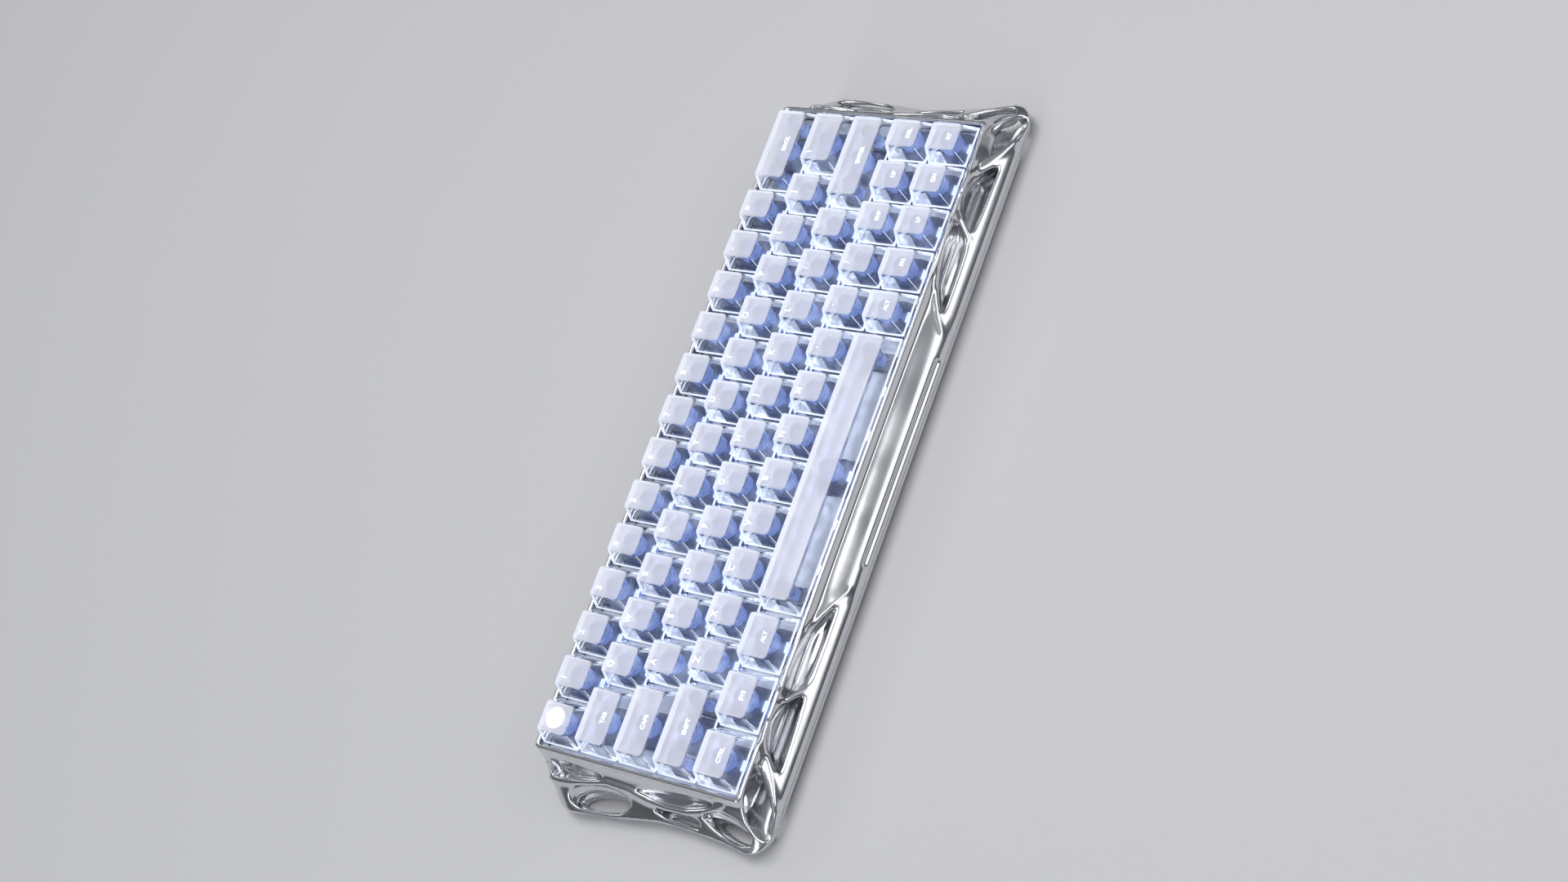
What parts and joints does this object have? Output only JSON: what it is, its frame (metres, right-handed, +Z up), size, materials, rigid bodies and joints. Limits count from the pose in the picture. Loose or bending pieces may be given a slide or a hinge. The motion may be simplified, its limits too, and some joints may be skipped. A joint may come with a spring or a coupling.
{
  "type": "mechanical keyboard",
  "caption": "Compact mechanical keyboard: a sculpted metal case with pierced ends round rows of clear backlit keys that press down, on rubber feet.",
  "frame": {"origin": "centre of the footprint, on the desk under the rubber feet", "axes": "+Z up from the desk, +X along the key rows towards the wide key at the end of the number row, +Y towards the rear wall with the USB socket"},
  "size_m": [0.326, 0.1112, 0.0373],
  "materials": {
    "keycap_clear": "clear skirt with a frosted top",
    "case_metal": "polished",
    "plate_metal": "brushed and polished",
    "screw_steel": "dark oxide",
    "foot_rubber": "matte",
    "insert_plastic": "satin",
    "socket_steel": "bare",
    "board": "satin lacquer",
    "cable_film": "satin",
    "foam": "open cell",
    "gasket": "matte",
    "plate_clear": "translucent",
    "switch_plastic": "translucent",
    "stabilizer_plastic": "translucent",
    "spring_steel": "drawn",
    "led": "clear lens"
  },
  "bodies": {
    "case": {"backlight_leds": "led", "bottom_plate": "plate_metal", "case_foam": "foam", "case_frame": "case_metal", "case_screws": "screw_steel", "circuit_board": "board", "flat_cable": "cable_film", "gasket_strips": "gasket", "rear_insert": "insert_plastic", "rubber_feet": "foot_rubber", "stabilizer_housings": "stabilizer_plastic", "switch_housings": "switch_plastic", "switch_plate": "plate_clear", "usb_board": "board", "usb_socket": "socket_steel"},
    "key_alt": {"key_alt": "keycap_clear"},
    "key_backslash": {"key_backslash": "keycap_clear"},
    "key_backspace": {"key_backspace": "keycap_clear"},
    "key_caps_lock": {"key_caps_lock": "keycap_clear"},
    "key_control": {"key_control": "keycap_clear"},
    "key_delete": {"key_delete": "keycap_clear"},
    "key_down": {"key_down": "keycap_clear"},
    "key_enter": {"key_enter": "keycap_clear"},
    "key_escape": {"key_escape": "keycap_clear"},
    "key_function": {"key_function": "keycap_clear"},
    "key_left": {"key_left": "keycap_clear"},
    "key_left_shift": {"key_left_shift": "keycap_clear"},
    "key_right": {"key_right": "keycap_clear"},
    "key_right_alt": {"key_right_alt": "keycap_clear"},
    "key_right_shift": {"key_right_shift": "keycap_clear"},
    "key_space": {"key_space": "keycap_clear"},
    "key_system": {"key_system": "keycap_clear"},
    "key_tab": {"key_tab": "keycap_clear"},
    "key_up": {"key_up": "keycap_clear"},
    "keys_1_2": {"keys_1_2": "keycap_clear"},
    "keys_3_4": {"keys_3_4": "keycap_clear"},
    "keys_5_6": {"keys_5_6": "keycap_clear"},
    "keys_7_8": {"keys_7_8": "keycap_clear"},
    "keys_9_0": {"keys_9_0": "keycap_clear"},
    "keys_a_s": {"keys_a_s": "keycap_clear"},
    "keys_b_n": {"keys_b_n": "keycap_clear"},
    "keys_c_v": {"keys_c_v": "keycap_clear"},
    "keys_d_f": {"keys_d_f": "keycap_clear"},
    "keys_e_r": {"keys_e_r": "keycap_clear"},
    "keys_g_h": {"keys_g_h": "keycap_clear"},
    "keys_j_k": {"keys_j_k": "keycap_clear"},
    "keys_l_semicolon_quote": {"keys_l_semicolon_quote": "keycap_clear"},
    "keys_left_bracket_right_bracket": {"keys_left_bracket_right_bracket": "keycap_clear"},
    "keys_m_comma": {"keys_m_comma": "keycap_clear"},
    "keys_minus_equals": {"keys_minus_equals": "keycap_clear"},
    "keys_o_p": {"keys_o_p": "keycap_clear"},
    "keys_period_slash": {"keys_period_slash": "keycap_clear"},
    "keys_q_w": {"keys_q_w": "keycap_clear"},
    "keys_t_y": {"keys_t_y": "keycap_clear"},
    "keys_u_i": {"keys_u_i": "keycap_clear"},
    "keys_z_x": {"keys_z_x": "keycap_clear"},
    "wire_backspace": {"wire_backspace": "spring_steel"},
    "wire_enter": {"wire_enter": "spring_steel"},
    "wire_left_shift": {"wire_left_shift": "spring_steel"},
    "wire_space": {"wire_space": "spring_steel"}
  },
  "joints": [
    {"name": "key_alt_press", "type": "slide", "parent": "case", "child": "key_alt", "axis": [0, 0.1045, -0.9945], "range_m": [0, 0.0036], "stiffness_N_per_m": 60, "springref_m": -0.006},
    {"name": "key_backslash_press", "type": "slide", "parent": "case", "child": "key_backslash", "axis": [0, 0.1045, -0.9945], "range_m": [0, 0.0036], "stiffness_N_per_m": 60, "springref_m": -0.006},
    {"name": "key_backspace_press", "type": "slide", "parent": "case", "child": "key_backspace", "axis": [0, 0.1045, -0.9945], "range_m": [0, 0.0036], "stiffness_N_per_m": 60, "springref_m": -0.006},
    {"name": "key_caps_lock_press", "type": "slide", "parent": "case", "child": "key_caps_lock", "axis": [0, 0.1045, -0.9945], "range_m": [0, 0.0036], "stiffness_N_per_m": 60, "springref_m": -0.006},
    {"name": "key_control_press", "type": "slide", "parent": "case", "child": "key_control", "axis": [0, 0.1045, -0.9945], "range_m": [0, 0.0036], "stiffness_N_per_m": 60, "springref_m": -0.006},
    {"name": "key_delete_press", "type": "slide", "parent": "case", "child": "key_delete", "axis": [0, 0.1045, -0.9945], "range_m": [0, 0.0036], "stiffness_N_per_m": 60, "springref_m": -0.006},
    {"name": "key_down_press", "type": "slide", "parent": "case", "child": "key_down", "axis": [0, 0.1045, -0.9945], "range_m": [0, 0.0036], "stiffness_N_per_m": 60, "springref_m": -0.006},
    {"name": "key_enter_press", "type": "slide", "parent": "case", "child": "key_enter", "axis": [0, 0.1045, -0.9945], "range_m": [0, 0.0036], "stiffness_N_per_m": 60, "springref_m": -0.006},
    {"name": "key_escape_press", "type": "slide", "parent": "case", "child": "key_escape", "axis": [0, 0.1045, -0.9945], "range_m": [0, 0.0036], "stiffness_N_per_m": 60, "springref_m": -0.006},
    {"name": "key_function_press", "type": "slide", "parent": "case", "child": "key_function", "axis": [0, 0.1045, -0.9945], "range_m": [0, 0.0036], "stiffness_N_per_m": 60, "springref_m": -0.006},
    {"name": "key_left_press", "type": "slide", "parent": "case", "child": "key_left", "axis": [0, 0.1045, -0.9945], "range_m": [0, 0.0036], "stiffness_N_per_m": 60, "springref_m": -0.006},
    {"name": "key_left_shift_press", "type": "slide", "parent": "case", "child": "key_left_shift", "axis": [0, 0.1045, -0.9945], "range_m": [0, 0.0036], "stiffness_N_per_m": 60, "springref_m": -0.006},
    {"name": "key_right_press", "type": "slide", "parent": "case", "child": "key_right", "axis": [0, 0.1045, -0.9945], "range_m": [0, 0.0036], "stiffness_N_per_m": 60, "springref_m": -0.006},
    {"name": "key_right_alt_press", "type": "slide", "parent": "case", "child": "key_right_alt", "axis": [0, 0.1045, -0.9945], "range_m": [0, 0.0036], "stiffness_N_per_m": 60, "springref_m": -0.006},
    {"name": "key_right_shift_press", "type": "slide", "parent": "case", "child": "key_right_shift", "axis": [0, 0.1045, -0.9945], "range_m": [0, 0.0036], "stiffness_N_per_m": 60, "springref_m": -0.006},
    {"name": "key_space_press", "type": "slide", "parent": "case", "child": "key_space", "axis": [0, 0.1045, -0.9945], "range_m": [0, 0.0036], "stiffness_N_per_m": 60, "springref_m": -0.006},
    {"name": "key_system_press", "type": "slide", "parent": "case", "child": "key_system", "axis": [0, 0.1045, -0.9945], "range_m": [0, 0.0036], "stiffness_N_per_m": 60, "springref_m": -0.006},
    {"name": "key_tab_press", "type": "slide", "parent": "case", "child": "key_tab", "axis": [0, 0.1045, -0.9945], "range_m": [0, 0.0036], "stiffness_N_per_m": 60, "springref_m": -0.006},
    {"name": "key_up_press", "type": "slide", "parent": "case", "child": "key_up", "axis": [0, 0.1045, -0.9945], "range_m": [0, 0.0036], "stiffness_N_per_m": 60, "springref_m": -0.006},
    {"name": "keys_1_2_press", "type": "slide", "parent": "case", "child": "keys_1_2", "axis": [0, 0.1045, -0.9945], "range_m": [0, 0.0036], "stiffness_N_per_m": 120, "springref_m": -0.006},
    {"name": "keys_3_4_press", "type": "slide", "parent": "case", "child": "keys_3_4", "axis": [0, 0.1045, -0.9945], "range_m": [0, 0.0036], "stiffness_N_per_m": 120, "springref_m": -0.006},
    {"name": "keys_5_6_press", "type": "slide", "parent": "case", "child": "keys_5_6", "axis": [0, 0.1045, -0.9945], "range_m": [0, 0.0036], "stiffness_N_per_m": 120, "springref_m": -0.006},
    {"name": "keys_7_8_press", "type": "slide", "parent": "case", "child": "keys_7_8", "axis": [0, 0.1045, -0.9945], "range_m": [0, 0.0036], "stiffness_N_per_m": 120, "springref_m": -0.006},
    {"name": "keys_9_0_press", "type": "slide", "parent": "case", "child": "keys_9_0", "axis": [0, 0.1045, -0.9945], "range_m": [0, 0.0036], "stiffness_N_per_m": 120, "springref_m": -0.006},
    {"name": "keys_a_s_press", "type": "slide", "parent": "case", "child": "keys_a_s", "axis": [0, 0.1045, -0.9945], "range_m": [0, 0.0036], "stiffness_N_per_m": 120, "springref_m": -0.006},
    {"name": "keys_b_n_press", "type": "slide", "parent": "case", "child": "keys_b_n", "axis": [0, 0.1045, -0.9945], "range_m": [0, 0.0036], "stiffness_N_per_m": 120, "springref_m": -0.006},
    {"name": "keys_c_v_press", "type": "slide", "parent": "case", "child": "keys_c_v", "axis": [0, 0.1045, -0.9945], "range_m": [0, 0.0036], "stiffness_N_per_m": 120, "springref_m": -0.006},
    {"name": "keys_d_f_press", "type": "slide", "parent": "case", "child": "keys_d_f", "axis": [0, 0.1045, -0.9945], "range_m": [0, 0.0036], "stiffness_N_per_m": 120, "springref_m": -0.006},
    {"name": "keys_e_r_press", "type": "slide", "parent": "case", "child": "keys_e_r", "axis": [0, 0.1045, -0.9945], "range_m": [0, 0.0036], "stiffness_N_per_m": 120, "springref_m": -0.006},
    {"name": "keys_g_h_press", "type": "slide", "parent": "case", "child": "keys_g_h", "axis": [0, 0.1045, -0.9945], "range_m": [0, 0.0036], "stiffness_N_per_m": 120, "springref_m": -0.006},
    {"name": "keys_j_k_press", "type": "slide", "parent": "case", "child": "keys_j_k", "axis": [0, 0.1045, -0.9945], "range_m": [0, 0.0036], "stiffness_N_per_m": 120, "springref_m": -0.006},
    {"name": "keys_l_semicolon_quote_press", "type": "slide", "parent": "case", "child": "keys_l_semicolon_quote", "axis": [0, 0.1045, -0.9945], "range_m": [0, 0.0036], "stiffness_N_per_m": 180, "springref_m": -0.006},
    {"name": "keys_left_bracket_right_bracket_press", "type": "slide", "parent": "case", "child": "keys_left_bracket_right_bracket", "axis": [0, 0.1045, -0.9945], "range_m": [0, 0.0036], "stiffness_N_per_m": 120, "springref_m": -0.006},
    {"name": "keys_m_comma_press", "type": "slide", "parent": "case", "child": "keys_m_comma", "axis": [0, 0.1045, -0.9945], "range_m": [0, 0.0036], "stiffness_N_per_m": 120, "springref_m": -0.006},
    {"name": "keys_minus_equals_press", "type": "slide", "parent": "case", "child": "keys_minus_equals", "axis": [0, 0.1045, -0.9945], "range_m": [0, 0.0036], "stiffness_N_per_m": 120, "springref_m": -0.006},
    {"name": "keys_o_p_press", "type": "slide", "parent": "case", "child": "keys_o_p", "axis": [0, 0.1045, -0.9945], "range_m": [0, 0.0036], "stiffness_N_per_m": 120, "springref_m": -0.006},
    {"name": "keys_period_slash_press", "type": "slide", "parent": "case", "child": "keys_period_slash", "axis": [0, 0.1045, -0.9945], "range_m": [0, 0.0036], "stiffness_N_per_m": 120, "springref_m": -0.006},
    {"name": "keys_q_w_press", "type": "slide", "parent": "case", "child": "keys_q_w", "axis": [0, 0.1045, -0.9945], "range_m": [0, 0.0036], "stiffness_N_per_m": 120, "springref_m": -0.006},
    {"name": "keys_t_y_press", "type": "slide", "parent": "case", "child": "keys_t_y", "axis": [0, 0.1045, -0.9945], "range_m": [0, 0.0036], "stiffness_N_per_m": 120, "springref_m": -0.006},
    {"name": "keys_u_i_press", "type": "slide", "parent": "case", "child": "keys_u_i", "axis": [0, 0.1045, -0.9945], "range_m": [0, 0.0036], "stiffness_N_per_m": 120, "springref_m": -0.006},
    {"name": "keys_z_x_press", "type": "slide", "parent": "case", "child": "keys_z_x", "axis": [0, 0.1045, -0.9945], "range_m": [0, 0.0036], "stiffness_N_per_m": 120, "springref_m": -0.006},
    {"name": "wire_backspace_turn", "type": "hinge", "parent": "case", "child": "wire_backspace", "pos_m": [0.12383, 0.03478, 0.01918], "axis": [1, 0, 0], "range_deg": [-28, 0]},
    {"name": "wire_enter_turn", "type": "hinge", "parent": "case", "child": "wire_enter", "pos_m": [0.12144, -0.00311, 0.0152], "axis": [1, 0, 0], "range_deg": [-28, 0]},
    {"name": "wire_left_shift_turn", "type": "hinge", "parent": "case", "child": "wire_left_shift", "pos_m": [-0.12383, -0.02206, 0.0132], "axis": [1, 0, 0], "range_deg": [-28, 0]},
    {"name": "wire_space_turn", "type": "hinge", "parent": "case", "child": "wire_space", "pos_m": [-0.01191, -0.02469, 0.01293], "axis": [1, 0, 0], "range_deg": [0, 28]}
  ],
  "couplings": [
    {"joint": "wire_backspace_turn", "follows": "key_backspace_press", "rad_per_m": -132.02},
    {"joint": "wire_enter_turn", "follows": "key_enter_press", "rad_per_m": -132.02},
    {"joint": "wire_left_shift_turn", "follows": "key_left_shift_press", "rad_per_m": -132.02},
    {"joint": "wire_space_turn", "follows": "key_space_press", "rad_per_m": 132.02}
  ]
}
